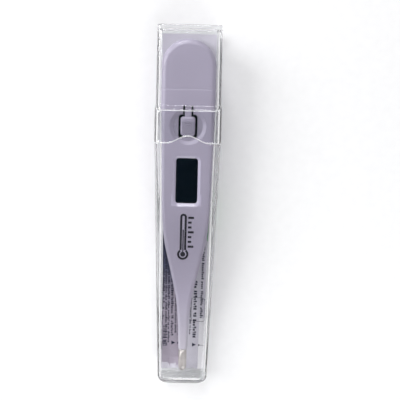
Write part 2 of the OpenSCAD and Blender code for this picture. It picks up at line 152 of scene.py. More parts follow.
def finish_piece(obj, body, slot, *nodes, material=None, sharp=32):
    """Scales the piece to metres and gives it smooth shading with crisp edges, a material and its place.

    The material is the slot's own unless another is given.
    """
    obj.data.transform(Matrix.Scale(MM, 4))
    bm = bmesh.new()
    bm.from_mesh(obj.data)
    bmesh.ops.remove_doubles(bm, verts=bm.verts, dist=2e-7)
    bmesh.ops.dissolve_degenerate(bm, edges=bm.edges, dist=1e-7)
    bm.to_mesh(obj.data)
    bm.free()
    obj.data.shade_smooth()
    obj.data.set_sharp_from_angle(angle=math.radians(sharp))
    obj.data.materials.clear()
    obj.data.materials.append(material or MATERIAL[slot])
    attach(obj, body)
    if nodes:
        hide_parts(*nodes)
    return obj


def add_finish(obj, material, chosen):
    """Gives the chosen faces another finish. Places are in millimetres."""
    obj.data.materials.append(material)
    for face in obj.data.polygons:
        if chosen(*(face.center / MM), face.normal):
            face.material_index = len(obj.data.materials) - 1


def section(hw, z0, z1, r, flat=40, side=8, corner=9):
    """A rounded rectangle in X and Z, from the foot of its right side round by the top."""
    tall = z1 - z0 - 2 * r

    def turn(cx, cz, quarter):
        angles = [math.pi / 2 * (quarter + k / corner) for k in range(corner)]
        return [(cx + r * math.cos(a), cz + r * math.sin(a)) for a in angles]

    out = [(hw, z0 + r + tall * k / side) for k in range(side)]
    out += turn(hw - r, z1 - r, 0)
    out += [((hw - r) * (1 - 2 * k / flat), z1) for k in range(flat)]
    out += turn(-hw + r, z1 - r, 1)
    out += [(-hw, z1 - r - tall * k / side) for k in range(side)]
    out += turn(-hw + r, z0 + r, 2)
    out += [((hw - r) * (-1 + 2 * k / flat), z0) for k in range(flat)]
    out += turn(hw - r, z0 + r, 3)
    return out


def arch(x):
    """The thumb arch in the skirt's edge, 1 at its top."""
    return (1 + math.cos(2 * math.pi * x / ARCH_W)) / 2 if abs(x) < ARCH_W / 2 else 0.0


def ring(y, hw, z0, z1, r, wave=0.0, **counts):
    """A section placed at y. With wave it follows the thumb arch."""
    return [(x, y + wave * ARCH_H * arch(x), z) for x, z in section(hw, z0, z1, r, **counts)]


def lip(y, hw, z0, z1, r, steps, wave=0.0):
    """Rings round a small rounded edge. Each step is (distance along Y, inset)."""
    return [ring(y + dy, hw - inset, z0 + inset, z1 - inset, r - inset, wave) for dy, inset in steps]


def plan_rect(w, l, r, cy, z, corner=8, side=10):
    """A rounded rectangle in X and Y, centred on X = 0 and Y = cy, at height z."""
    out = []
    quarters = ((1, 1), (-1, 1), (-1, -1), (1, -1))

    def point(quarter, degrees):
        (qx, qy), a = quarters[quarter % 4], math.radians(degrees)
        return qx * (w / 2 - r) + r * math.cos(a), cy + qy * (l / 2 - r) + r * math.sin(a), z

    for i in range(4):
        out += [point(i, 90 * i + 90 * k / corner) for k in range(corner + 1)]
        (x0, y0, _), (x1, y1, _) = out[-1], point(i + 1, 90 * i + 90)
        out += [(x0 + (x1 - x0) * k / side, y0 + (y1 - y0) * k / side, z) for k in range(1, side)]
    return out


def lathe(profile, axis, centre, steps=96):
    """A closed solid turned about Z or Y, from a profile of (radius, distance along the axis)."""
    rings = []
    for radius, d in profile:
        one = []
        for k in range(steps):
            a = 2 * math.pi * k / steps
            if axis == "Z":
                one.append((centre[0] + radius * math.cos(a), centre[1] + radius * math.sin(a), d))
            else:
                one.append((centre[0] + radius * math.cos(a), d, centre[2] + radius * math.sin(a)))
        rings.append(one)
    return skin(rings)


# -------- materials

def new_material(name, fixed):
    """A material with some of its shader's inputs fixed."""
    mat = bpy.data.materials.new(name)
    mat.use_nodes = True
    nodes, links = mat.node_tree.nodes, mat.node_tree.links
    bsdf = nodes["Principled BSDF"]
    for key, value in fixed.items():
        bsdf.inputs[key].default_value = value
    return mat, nodes, links, bsdf


def coordinates(nodes, links, scale=(1, 1, 1)):
    """Object coordinates. Each piece's origin is the frame's, so these are metres in the frame."""
    coord = nodes.new("ShaderNodeTexCoord")
    mapping = nodes.new("ShaderNodeMapping")
    mapping.inputs["Scale"].default_value = scale
    links.new(coord.outputs["Object"], mapping.inputs["Vector"])
    return mapping.outputs["Vector"]


def noise(nodes, links, vector, scale, detail=3.0, roughness=0.5):
    n = nodes.new("ShaderNodeTexNoise")
    n.inputs["Scale"].default_value = scale
    n.inputs["Detail"].default_value = detail
    n.inputs["Roughness"].default_value = roughness
    links.new(vector, n.inputs["Vector"])
    return n.outputs["Fac"]


def ramp(nodes, links, value, stops):
    n = nodes.new("ShaderNodeValToRGB")
    while len(n.color_ramp.elements) < len(stops):
        n.color_ramp.elements.new(0.5)
    for e, (pos, col) in zip(n.color_ramp.elements, stops):
        e.position = pos
        e.color = (*col, 1)
    links.new(value, n.inputs["Fac"])
    return n.outputs["Color"]


def spread(nodes, links, value, low, high):
    n = nodes.new("ShaderNodeMapRange")
    n.inputs["To Min"].default_value = low
    n.inputs["To Max"].default_value = high
    links.new(value, n.inputs["Value"])
    return n.outputs["Result"]


def bump(nodes, links, bsdf, height, strength, distance):
    n = nodes.new("ShaderNodeBump")
    n.inputs["Strength"].default_value = strength
    n.inputs["Distance"].default_value = distance
    links.new(height, n.inputs["Height"])
    links.new(n.outputs["Normal"], bsdf.inputs["Normal"])


def shade(color, factor):
    return tuple(min(1.0, c * factor) for c in color)


def solid(name, color, roughness=0.45, metallic=0.0, grain=900.0, vary=0.06, relief=2e-5,
          stretch=(1, 1, 1), coat=0.0, rough_vary=0.08):
    """Plastic, rubber or metal with a fine grain, a faint change of colour and uneven gloss."""
    mat, nodes, links, bsdf = new_material(name, {"Metallic": metallic, "Coat Weight": coat})
    vector = coordinates(nodes, links, stretch)
    broad = noise(nodes, links, vector, 60.0, 4.0)
    fine = noise(nodes, links, vector, grain * 4, 5.0, 0.6)
    colour = ramp(nodes, links, broad, [(0.3, shade(color, 1 - vary)), (0.7, shade(color, 1 + vary))])
    links.new(colour, bsdf.inputs["Base Color"])
    gloss = spread(nodes, links, fine, roughness - rough_vary, roughness + rough_vary)
    links.new(gloss, bsdf.inputs["Roughness"])
    bump(nodes, links, bsdf, fine, 0.35, relief)
    return mat


def body_plastic():
    """Its colour is painted along Y: darker across the middle of the face as painted shade, and paler and
    greyer towards the stem's tip as a painted sheen.
    """
    mat = solid("body_plastic", shade(LILAC, PALEST), 0.38, vary=0.035, relief=1.2e-5, rough_vary=0.05)
    nodes, links = mat.node_tree.nodes, mat.node_tree.links
    base = nodes["Principled BSDF"].inputs["Base Color"]
    split, mix = nodes.new("ShaderNodeSeparateXYZ"), nodes.new("ShaderNodeMix")
    along = nodes.new("ShaderNodeMapRange")
    links.new(coordinates(nodes, links), split.inputs[0])
    links.new(split.outputs["Y"], along.inputs["Value"])
    first, last = PAINTED_LIGHT_ALONG[0][0], PAINTED_LIGHT_ALONG[-1][0]
    along.inputs["From Min"].default_value = first * MM
    along.inputs["From Max"].default_value = last * MM
    stops = [((y - first) / (last - first), tuple(c / PALEST for c in tone)) for y, tone in PAINTED_LIGHT_ALONG]
    # the base colour is multiplied by the painted shade and sheen along Y
    mix.data_type, mix.blend_type = "RGBA", "MULTIPLY"
    mix.inputs[0].default_value = 1.0
    # inputs 6 and 7 and output 2 are the node's colours; 2, 3 and 0 are its plain numbers
    links.new(base.links[0].from_socket, mix.inputs[6])
    links.new(ramp(nodes, links, along.outputs["Result"], stops), mix.inputs[7])
    links.new(mix.outputs[2], base)
    return mat


def clear_plastic(name, clearness=1.0, low=0.015, high=0.06, tone=0.965):
    """Polished styrene with faint moulding ripple, hairline scratches and an uneven polish."""
    mat, nodes, links, bsdf = new_material(name, {
        "Base Color": (tone, tone + 0.005, tone + 0.01, 1), "Transmission Weight": clearness, "IOR": 1.56})
    vector = coordinates(nodes, links)
    streaks = coordinates(nodes, links, (1.0, 0.12, 1.0))
    ripple = noise(nodes, links, streaks, 220.0, 2.0)
    haze = noise(nodes, links, vector, 500.0, 4.0)
    links.new(spread(nodes, links, haze, low, high), bsdf.inputs["Roughness"])
    rubbed = noise(nodes, links, coordinates(nodes, links, (1.0, 0.02, 1.0)), 2600.0, 3.0)
    mix = nodes.new("ShaderNodeMix")
    mix.inputs["Factor"].default_value = 0.03
    links.new(ripple, mix.inputs[2])
    links.new(rubbed, mix.inputs[3])
    bump(nodes, links, bsdf, mix.outputs[0], 0.25, 1.2e-4)
    # lamps and light that has already bounced pass straight through; the eye sees real glass
    through = nodes.new("ShaderNodeBsdfTransparent")
    through.inputs["Color"].default_value = (0.955, 0.957, 0.962, 1)
    path = nodes.new("ShaderNodeLightPath")
    first, second = nodes.new("ShaderNodeMixShader"), nodes.new("ShaderNodeMixShader")
    links.new(path.outputs["Is Shadow Ray"], first.inputs[0])
    links.new(bsdf.outputs[0], first.inputs[1])
    links.new(through.outputs[0], first.inputs[2])
    links.new(path.outputs["Is Diffuse Ray"], second.inputs[0])
    links.new(first.outputs[0], second.inputs[1])
    links.new(through.outputs[0], second.inputs[2])
    links.new(second.outputs[0], nodes["Material Output"].inputs["Surface"])
    return mat


def paper():
    """Thin uncoated paper with raised fibres and a cloudy tone."""
    mat, nodes, links, bsdf = new_material("print_paper", {"Roughness": 0.85, "Specular IOR Level": 0.25})
    vector = coordinates(nodes, links)
    fibres = noise(nodes, links, coordinates(nodes, links, (1.0, 0.35, 1.0)), 5200.0, 6.0, 0.7)
    cloudy = noise(nodes, links, vector, 90.0, 4.0)
    colour = ramp(nodes, links, cloudy, [(0.3, (0.57, 0.55, 0.61)), (0.7, (0.64, 0.62, 0.68))])
    links.new(colour, bsdf.inputs["Base Color"])
    bump(nodes, links, bsdf, fibres, 0.5, 3e-5)
    return mat


def fading_tint_and_shade():
    """A navy tint, dense print deepened by painted shade, darkest at the block's high end and fading out
    towards its low end.
    """
    mat, nodes, links, bsdf = new_material("leaflet_blue_and_shade", {"Roughness": 0.8})
    split = nodes.new("ShaderNodeSeparateXYZ")
    low, high = BLUE_AND_SHADE_BLOCK[2:]
    links.new(coordinates(nodes, links, (1, 1 / ((high - low) * MM), 1)), split.inputs[0])
    along = nodes.new("ShaderNodeMath")
    along.operation = "ADD"
    along.inputs[1].default_value = -low / (high - low)
    links.new(split.outputs["Y"], along.inputs[0])
    colour = ramp(nodes, links, along.outputs[0], [
        (0.0, DARKER_LILAC), (0.25, (0.26, 0.235, 0.30)), (0.5, (0.06, 0.065, 0.12)),
        (0.7, (0.03, 0.033, 0.075))])
    links.new(colour, bsdf.inputs["Base Color"])
    bump(nodes, links, bsdf, noise(nodes, links, coordinates(nodes, links), 5200.0, 5.0), 0.4, 2e-5)
    return mat


LILAC = (0.390, 0.357, 0.450)
DARKER_LILAC = (0.370, 0.328, 0.390)
# the navy block is dense print, made darker with painted shade
BLUE_AND_SHADE_BLOCK = (-8.5, -4.0, -43, -5)  # the leaflet's navy block, in X and Y
PALEST = 1.45  # the highest of the factors in PAINTED_LIGHT_ALONG
# painted light along Y, as factors on LILAC: below 1 is painted shade across the middle of the face, above 1 a
# painted sheen towards the stem's tip
PAINTED_LIGHT_ALONG = [(-60, (1.40, 1.45, 1.28)), (-50, (1.27, 1.30, 1.19)), (-35, (1.02, 1.02, 1.01)),
              (-20, (0.84,) * 3), (-9, (0.83,) * 3), (3, (0.89,) * 3), (21, (0.92,) * 3), (45, (1.0,) * 3)]
MATERIAL = {
    "clear_plastic": clear_plastic("clear_styrene"),
    "paper": paper(),
    "body_plastic": body_plastic(),
    "lens_plastic": solid("smoked_lens", (0.001, 0.0036, 0.0062), 0.14, vary=0.2, relief=2e-6, rough_vary=0.03),
    "black_tape": solid("black_tape", (0.012, 0.012, 0.013), 0.75),
    "seal_rubber": solid("seal_rubber", (0.02, 0.02, 0.022), 0.6),
    "carrier_plastic": solid("carrier_plastic", (0.70, 0.68, 0.62), 0.5),
    "board_laminate": solid("board_laminate", (0.004, 0.030, 0.016), 0.35, coat=0.3),
    "lcd_glass": solid("lcd_glass", (0.28, 0.33, 0.28), 0.12, vary=0.03, relief=1e-6, rough_vary=0.02),
    "reflector_foil": solid("reflector_foil", (0.42, 0.44, 0.40), 0.5, metallic=0.6),
    "zebra_rubber": solid("zebra_rubber", (0.50, 0.20, 0.26), 0.6, stretch=(1, 12, 1)),
    "black_epoxy": solid("black_epoxy", (0.010, 0.010, 0.011), 0.25, relief=5e-5),
    "chip_ceramic": solid("chip_ceramic", (0.13, 0.09, 0.06), 0.6),
    "spring_steel": solid("spring_steel", (0.62, 0.62, 0.63), 0.28, metallic=1.0),
    "brass_disc": solid("brass_disc", (0.66, 0.48, 0.20), 0.3, metallic=1.0),
    "piezo_ceramic": solid("piezo_ceramic", (0.62, 0.61, 0.56), 0.45, metallic=0.4),
    "cell_steel": solid("cell_steel", (0.66, 0.66, 0.67), 0.25, metallic=1.0),
    "contact_metal": solid("contact_metal", (0.62, 0.58, 0.46), 0.3, metallic=1.0, stretch=(1, 8, 1)),
    "screw_steel": solid("screw_steel", (0.55, 0.55, 0.56), 0.35, metallic=1.0),
    "enamelled_copper": solid("enamelled_copper", (0.55, 0.20, 0.07), 0.3, metallic=0.7, coat=0.5),
    "bead_glass": solid("bead_glass", (0.06, 0.02, 0.012), 0.2, coat=0.3),
    "potting_resin": solid("potting_resin", (0.55, 0.47, 0.34), 0.3),
    "stainless_tip": solid("stainless_tip", (0.56, 0.525, 0.51), 0.45, metallic=1.0, grain=500.0, vary=0.05,
                           relief=6e-6, stretch=(1, 14, 1), rough_vary=0.06),
}
# a rougher, grainier finish; its darker colour is painted shade in the recess
TEXTURED_PAINTED_SHADE = solid("body_plastic_textured_painted_shade", shade(LILAC, 0.72), 0.55, vary=0.04, relief=3e-5, rough_vary=0.05)
# a glossier finish; its paler colour is a painted highlight on the window's bevel
POLISHED_PAINTED_HIGHLIGHT = solid("body_plastic_polished_painted_highlight", shade(LILAC, 1.22), 0.2, vary=0.03, relief=4e-6, rough_vary=0.04)
CLEAR_EDGE = clear_plastic("clear_styrene_edge", 0.5, 0.3, 0.4)
CLEAR_END = clear_plastic("clear_styrene_end", 0.72, 0.2, 0.3, 0.70)
CLEAR_THICK = clear_plastic("clear_styrene_thick", 1.0, 0.02, 0.08, 0.66)
INK = solid("pad_print_ink", (0.004, 0.004, 0.008), 0.4, vary=0.2, relief=4e-6)
LEAFLET_INK = solid("leaflet_ink", (0.010, 0.010, 0.028), 0.8, vary=0.3)
LEAFLET_BLUE_AND_SHADE = fading_tint_and_shade()
LEAFLET_LILAC = solid("leaflet_lilac", DARKER_LILAC, 0.8, vary=0.06)
LEAFLET_WHITE = solid("leaflet_white", (0.82, 0.81, 0.83), 0.8, vary=0.03)
LEAFLET_GREEN = solid("leaflet_green", (0.06, 0.36, 0.10), 0.8, vary=0.15)

# the pieces inside keep their CAD shapes
for entry in frame["record"]["subparts"]:
    node = frame["nodes"][entry["node"]]
    node.data.materials.clear()
    node.data.materials.append(MATERIAL[entry["material_slot"]])


# -------- storage case

def taper(y, low, high, a, b):
    """A value that runs evenly from a at low to b at high."""
    return a + (b - a) * (y - low) / (high - low)


NECK_W = CASE_W - 2 * WALL - 0.2  # the neck's outer width
NECK_IN = NECK_W - 1.7  # its inner width
NECK_Z = (1.05, CASE_H - 1.0)  # its outer faces
FLOOR_Z, NECK_IN_Z = 1.95, CASE_H - 1.85  # its inner faces
CAVITY_Y = FOOT + 1.8  # the cavity's closed end
FOOT_W, FOOT_H, FOOT_R = 19.0, 13.2, 3.4  # the closed end, outside
CAVITY_W, CAVITY_Z = 16.6, 11.8  # the closed end, inside
CASE_R, NECK_R, MOUTH_R, CAVITY_R = 1.5, 1.2, 1.0, 1.2  # corner radii


def clear_base():
    """One closed skin: the foot, the walls up to the skirt's edge, the neck, then back down the cavity."""
    shoulder, low = SKIRT_Y + ARCH_H + 1, FOOT + FOOT_R

    def outer(y):
        hw = taper(y, FOOT, shoulder, FOOT_W, CASE_W - 0.1) / 2
        z1 = taper(y, FOOT, shoulder, FOOT_H, CASE_H)
        return hw, z1, taper(y, low, shoulder, FOOT_R, CASE_R)

    def inner(y):
        hw = taper(y, CAVITY_Y, RIM_Y, CAVITY_W, NECK_IN) / 2
        z1 = taper(y, CAVITY_Y, RIM_Y, CAVITY_Z, NECK_IN_Z)
        return hw, z1, taper(y, CAVITY_Y, RIM_Y, CAVITY_R, MOUTH_R)

    rings = []

    def add(*place, wave=0.0):
        rings.append(ring(*place, wave=wave))

    hw, z1, r = outer(low)
    for share in (0.04, 0.3, 0.6, 0.85):
        k = FOOT_R + (min(hw, z1 / 2) - FOOT_R) * (1 - share)
        add(FOOT, max(0.3, hw - k), k, z1 - k, max(0.05, (FOOT_R * 0.55) * share))
    for i in range(13):
        a = math.pi / 2 * i / 12
        inset, y = FOOT_R * (1 - math.sin(a)), FOOT + FOOT_R * (1 - math.cos(a))
        add(y, hw - inset, inset, z1 - inset, max(CASE_R, FOOT_R - inset * 0.5))
    edge = SKIRT_Y - 0.06
    for i in range(1, 31):
        y = low + (edge - 0.25 - low) * i / 30
        hw, z1, r = outer(y)
        add(y, hw, 0, z1, r, wave=max(0.0, (i - 24) / 6))
    hw, z1, r = outer(edge)
    rings += lip(edge, hw, 0, z1, r, ((-0.12, 0.015), (-0.05, 0.06), (-0.01, 0.13), (0, 0.22)), wave=1)
    nw, straight_y = NECK_W / 2, 33  # above straight_y the neck no longer follows the arch
    add(edge, nw + 0.12, NECK_Z[0] - 0.12, NECK_Z[1] + 0.12, 1.3, wave=1)
    add(edge + 0.04, nw + 0.03, NECK_Z[0] - 0.03, NECK_Z[1] + 0.03, 1.22, wave=1)
    for i in range(7):
        t = i / 6
        add((edge + 0.14) * (1 - t) + straight_y * t, nw, *NECK_Z, NECK_R, wave=1 - t)
    for y in (34.6, 36.4, RIM_Y - 0.25):
        add(y, nw, *NECK_Z, NECK_R)
    rings += lip(RIM_Y, nw, *NECK_Z, NECK_R, ((-0.1, 0.04), (-0.03, 0.11), (0, 0.2)))
    rings += lip(RIM_Y, NECK_IN / 2, FLOOR_Z, NECK_IN_Z, MOUTH_R, ((0, -0.16), (-0.04, -0.07), (-0.14, 0)))
    top, bottom = RIM_Y - 0.5, CAVITY_Y + CAVITY_R
    for i in range(33):
        y = top + (bottom - top) * i / 32
        hw, z1, r = inner(y)
        add(y, hw, FLOOR_Z, z1, r)
    hw, z1, r = inner(bottom)
    for i in range(1, 8):
        a = math.pi / 2 * i / 7
        inset, y = CAVITY_R * (1 - math.cos(a)), bottom - CAVITY_R * math.sin(a)
        add(y, hw - inset, FLOOR_Z + inset, z1 - inset, CAVITY_R)
    for share in (0.7, 0.35, 0.05):
        k = CAVITY_R + 4.0 * (1 - share)
        add(CAVITY_Y, hw - k - (1 - share) * 2.8, FLOOR_Z + k * 0.9, z1 - k * 0.9, 0.2 + share)
    return build("clear_base", *skin(rings))


def clear_cap():
    """One closed skin: the closed end, the step, the skirt over the neck, then back up the inside."""
    side, narrow = 0.6, 0.35  # how far it steps in above the skirt, in Z and in X
    in_w, skirt_r = NECK_W + 0.2, 1.25  # the skirt's inside
    cap_hw = CASE_W / 2 - narrow
    in_z = (NECK_Z[0] - 0.1, NECK_Z[1] + 0.1)
    end_hw = (NECK_IN + 1.0) / 2
    end_z = (side + 1.1, CASE_H - side - 1.1)
    step_y, step_l, end_r = 38.9, 1.6, 0.5
    rings = []

    def add(*place, wave=0.0):
        rings.append(ring(*place, wave=wave))

    for share in (0.05, 0.5, 0.8):
        k = 1.0 + 5.5 * (1 - share)
        add(CASE_END, cap_hw - k - (1 - share) * 3.5, side + k, CASE_H - side - k, 0.2 + share)
    for i in range(6):
        a = math.pi / 2 * i / 5
        inset, y = end_r * (1 - math.sin(a)), CASE_END - end_r * (1 - math.cos(a))
        add(y, cap_hw - 0.1 - inset, side + inset, CASE_H - side - inset, CASE_R)
    for i in range(1, 13):
        t = i / 12
        y = (CASE_END - end_r) * (1 - t) + (step_y + 0.3) * t
        add(y, cap_hw - 0.1 * (1 - t), side, CASE_H - side, CASE_R)
    for t, k in ((0.0, 0.0), (0.07, 0.009), (0.14, 0.035), (0.21, 0.08), (0.28, 0.142), (0.35, 0.222),
                 (0.65, 0.60), (0.92, 0.945), (0.97, 0.99), (1.0, 1.0)):
        y = step_y + 0.15 - (step_l + 0.3) * t
        add(y, cap_hw + narrow * k, side * (1 - k), CASE_H - side * (1 - k), CASE_R)
    hw = CASE_W / 2
    for i in range(1, 12):
        t = i / 11
        y = (step_y - step_l - 0.3) * (1 - t) + (SKIRT_Y + 0.38) * t
        add(y, hw, 0, CASE_H, CASE_R, wave=max(0.0, (t - 0.3) / 0.7))
    skirt_edge = ((0.22, 0.02), (0.12, 0.06), (0.05, 0.13), (0.01, 0.22), (0, 0.32))
    rings += lip(SKIRT_Y, hw, 0, CASE_H, CASE_R, skirt_edge, wave=1)
    rings += lip(SKIRT_Y, in_w / 2, *in_z, skirt_r, ((0, -0.2), (0.05, -0.07), (0.18, 0)), wave=1)
    for i in range(1, 12):
        t = i / 11
        y = (SKIRT_Y + 0.18) * (1 - t) + (RIM_Y + 0.1 - 0.2) * t
        add(y, in_w / 2, *in_z, skirt_r, wave=max(0.0, 1 - t / 0.7))
    rings += lip(RIM_Y + 0.1, in_w / 2, *in_z, skirt_r, ((-0.08, 0.03), (-0.02, 0.09), (0, 0.18)))
    rings += lip(RIM_Y + 0.1, end_hw, *end_z, 1.0, ((0, -0.15), (0.04, -0.05), (0.14, 0)))
    inner_end, inner_r = CASE_END - 1.6, 0.9
    for i in range(1, 13):
        t = i / 12
        y = (RIM_Y + 0.24) * (1 - t) + (inner_end - inner_r) * t
        add(y, end_hw - 0.1 * t, *end_z, 1.0)
    for i in range(1, 7):
        a = math.pi / 2 * i / 6
        inset, y = inner_r * (1 - math.cos(a)), inner_end - inner_r * (1 - math.sin(a))
        add(y, end_hw - 0.1 - inset, end_z[0] + inset, end_z[1] - inset, 1.0)
    for share in (0.6, 0.05):
        k = inner_r + 4.5 * (1 - share)
        add(inner_end, end_hw - k - (1 - share) * 3.5, end_z[0] + k, end_z[1] - k, 0.2 + share * 0.7)
    return build("clear_cap", *skin(rings))


base_piece = finish_piece(clear_base(), "case_base", "clear_plastic", "case_base", sharp=40)
cap_piece = finish_piece(clear_cap(), "case_cap", "clear_plastic", "case_cap", sharp=40)
# both mouths' rims and the closed end's rounded edges are satin, and its end wall is a greyer clear
add_finish(base_piece, CLEAR_EDGE, lambda x, y, z, n: y > RIM_Y - 0.3 and n.y > 0.2)
add_finish(base_piece, CLEAR_THICK, lambda x, y, z, n: y < FOOT + 3 and abs(n.y) > 0.25)
add_finish(base_piece, CLEAR_END, lambda x, y, z, n: y < FOOT + 1.3 and -0.98 < n.y < -0.25)
add_finish(cap_piece, CLEAR_EDGE, lambda x, y, z, n: y < SKIRT_Y + ARCH_H * arch(x) + 0.36 and n.y < -0.04)


# -------- thermometer body

OUTLINE = [  # station, then width and thickness as shares of the body's
    (COLLAR_Y, 3.4 / BODY_W, 3.4 / BODY_T), (-45, 0.200, 0.42), (-38, 0.258, 0.50), (-32, 0.352, 0.60),
    (-26, 0.482, 0.71), (-20, 0.618, 0.81), (-14, 0.745, 0.89), (-8, 0.835, 0.95), (0, 0.905, 0.99),
    (10, 0.940, 1.0), (30, 0.980, 1.0), (PART_Y, 1.0, 1.0)]


def curve(y, k):
    """A smooth curve through column k of OUTLINE."""
    t, i = OUTLINE, 0
    while i < len(t) - 2 and y >= t[i + 1][0]:
        i += 1

    def slope(j):
        a, b = max(j - 1, 0), min(j + 1, len(t) - 1)
        return (t[b][k] - t[a][k]) / (t[b][0] - t[a][0])

    h = t[i + 1][0] - t[i][0]
    s = (y - t[i][0]) / h
    return (t[i][k] * (1 + 2 * s) * (1 - s) ** 2 + t[i + 1][k] * s * s * (3 - 2 * s)
            + h * slope(i) * s * (1 - s) ** 2 - h * slope(i + 1) * s * s * (1 - s))


def body_ring(y, inset=0.0, at=None):
    """The body's section at y, drawn at another place where that is given."""
    hw = curve(y, 1) * BODY_W / 2 - inset
    ht = curve(y, 2) * BODY_T / 2 - inset
    share = min(1.0, max(0.0, (y - 5) / (PART_Y - 5)))
    r = max(0.4, min(EDGE_R * (0.74 + 0.26 * share) - inset, 0.62 * min(hw, ht)))
    return ring(y if at is None else at, hw, ZC - ht, ZC + ht, r, flat=28, side=8, corner=12)


def body_front(x, y):
    """The height of the front face. It is flat across X."""
    return ZC + curve(y, 2) * BODY_T / 2


def body():
    """A hollow shell from the collar to the parting line, with the dish, key slot and window cut in."""
    top = PART_Y - 0.01
    rings = [body_ring(COLLAR_Y + 0.02, 1.1, COLLAR_Y), body_ring(COLLAR_Y + 0.02, 0.35, COLLAR_Y),
             body_ring(COLLAR_Y + 0.05, 0.16), body_ring(COLLAR_Y + 0.15, 0.05), body_ring(COLLAR_Y + 0.32)]
    y = COLLAR_Y + 1.2
    while y < top - 0.6:
        rings.append(body_ring(y))
        y += 1.1
    rings += [body_ring(top - 0.28), body_ring(top - 0.13, 0.02), body_ring(top - 0.05, 0.07),
              body_ring(top, 0.16), body_ring(top, BODY_WALL - 0.1), body_ring(top - 0.12, BODY_WALL)]
    y = top - 1.2
    while y > -21:
        rings.append(body_ring(y, BODY_WALL))
        y -= 2.2
    rings.append(body_ring(-22, BODY_WALL))
    rings.append(body_ring(-22, BODY_WALL + 2.2))
    shell = build("body_shell", *skin(rings))

    dish = [(r, FRONT + dz) for r, dz in (
        (0.02, -DISH_DEPTH), (3.0, -DISH_DEPTH), (5.2, -DISH_DEPTH), (5.42, -0.74), (5.6, -0.70),
        (5.78, -0.61), (6.55, -0.17), (6.72, -0.09), (6.9, -0.03), (7.1, 0.0005), (7.3, 0.8), (0.02, 0.8))]
    apply_boolean(shell, build("cut", *lathe(dish, "Z", (0, DISH_Y, 0), 128)))

    heights, slot_y = (ZC + 2, FRONT + 1), key_lo[1] + KEY_L / 2
    slot = [plan_rect(KEY_W + 2 * KEY_GAP, KEY_L + 2 * KEY_GAP, 1.2, slot_y, z) for z in heights]
    apply_boolean(shell, build("cut", *skin(slot)))
    neck = [plan_rect(3.8, 5.2, 0.3, HINGE_Y - 2.6, z) for z in heights]
    apply_boolean(shell, build("cut", *skin(neck)))

    hole = [plan_rect(LENS_W - 0.8, LENS_L - 0.8, 0.8, LENS_Y, z) for z in (ZC + 1, FRONT)]
    apply_boolean(shell, build("cut", *skin(hole)))
    lens_top = lens_hi[2]
    seat = [plan_rect(LENS_W + dw, LENS_L + dl, r, LENS_Y + dy, z) for dw, dl, r, dy, z in (
        (0.1, 0.1, 1.1, 0, lens_lo[2] - 0.1), (0.1, 0.1, 1.1, 0, lens_top - 0.02),
        (0.2, 0.25, 1.15, 0, lens_top + 0.02), (1.85, 1.95, 1.95, -0.27, FRONT - 0.06),
        (2.02, 2.15, 2.05, -0.3, FRONT - 0.02), (2.22, 2.35, 2.15, -0.3, FRONT + 0.0005),
        (2.3, 2.45, 2.2, -0.3, FRONT + 0.6))]
    apply_boolean(shell, build("cut", *skin(seat)))
    return shell


body_piece = finish_piece(body(), "thermometer", "body_plastic", "housing", sharp=28)
# the dish floor: rougher finish, with its darker colour painted as shade in the recess
add_finish(body_piece, TEXTURED_PAINTED_SHADE, lambda x, y, z, n: (
    math.hypot(x, y - DISH_Y) < DISH_FLOOR_R and -0.85 < z - FRONT < -0.6 and n.z > 0.9))
# the window's bevel: glossier, and paler as a painted highlight
add_finish(body_piece, POLISHED_PAINTED_HIGHLIGHT, lambda x, y, z, n: (
    abs(x) < 5.6 and lens_lo[1] - 1.5 < y < lens_hi[1] + 1.2
    and lens_hi[2] < z < FRONT - 0.008 and n.z > 0.3))


def lens():
    """The window, with a rounded front edge."""
    low, high = lens_lo[2], lens_hi[2]
    rings = [plan_rect(LENS_W - inset, LENS_L - inset, r, LENS_Y, z) for inset, r, z in (
        (3, 0.6, low), (0.1, 1.05, low), (0, 1.1, low + 0.06), (0, 1.1, high - 0.1),
        (0.06, 1.08, high - 0.03), (0.2, 1.0, high), (3, 0.6, high))]
    return build("window_lens", *skin(rings))


finish_piece(lens(), "thermometer", "lens_plastic", "display_lens")


def cover_plan(inset, y_cut, z, centre_y, radius, arc=56, side=12, cut=24):
    """The battery cover's outline in X and Y: round at the top, square at y_cut."""
    hw, tall = radius - inset, centre_y - y_cut
    angles = [math.pi - math.pi * k / arc for k in range(arc + 1)]
    out = [(-hw, y_cut + tall * k / side, z) for k in range(side)]
    out += [(hw * math.cos(a), centre_y + hw * math.sin(a), z) for a in angles]
    out += [(hw, centre_y - tall * k / side, z) for k in range(1, side + 1)]
    out += [(hw - 2 * hw * k / cut, y_cut, z) for k in range(1, cut)]
    return out


def pill(name, y_cut, radius, half, edge, centre_y):
    """A flat solid with cover_plan's outline and rounded edges."""
    rings = []
    angles = [math.pi / 2 * i / 12 for i in range(13)]

    def add(inset, z, pull=0.0):
        rings.append(cover_plan(inset, y_cut + pull, z, centre_y, radius))

    def face(z, shares):
        for share in shares:
            add(edge + (radius - edge) * (1 - share) * 0.9, z, (1 - share) * 2)

    face(ZC - half, (0.15, 0.6))
    for a in angles:
        add(edge * (1 - math.sin(a)), ZC - half + edge * (1 - math.cos(a)))
    for i in range(1, 6):
        add(0, ZC - half + edge + (2 * half - 2 * edge) * i / 6)
    for a in angles[::-1]:
        add(edge * (1 - math.sin(a)), ZC + half - edge * (1 - math.cos(a)))
    face(ZC + half, (0.6, 0.15))
    return build(name, *skin(rings))


def bar(hw, half, r, y0, y1):
    """A straight bar along Y, its end at y0 slightly rounded."""
    rings = []
    for y, inset in ((y0, 0.2), (y0 + 0.05, 0.05), (y0 + 0.2, 0), (y1, 0)):
        rings.append(ring(y, hw - inset, ZC - half + inset, ZC + half - inset, max(0.1, r - inset),
                          flat=16, side=6, corner=8))
    return build("cut", *skin(rings))


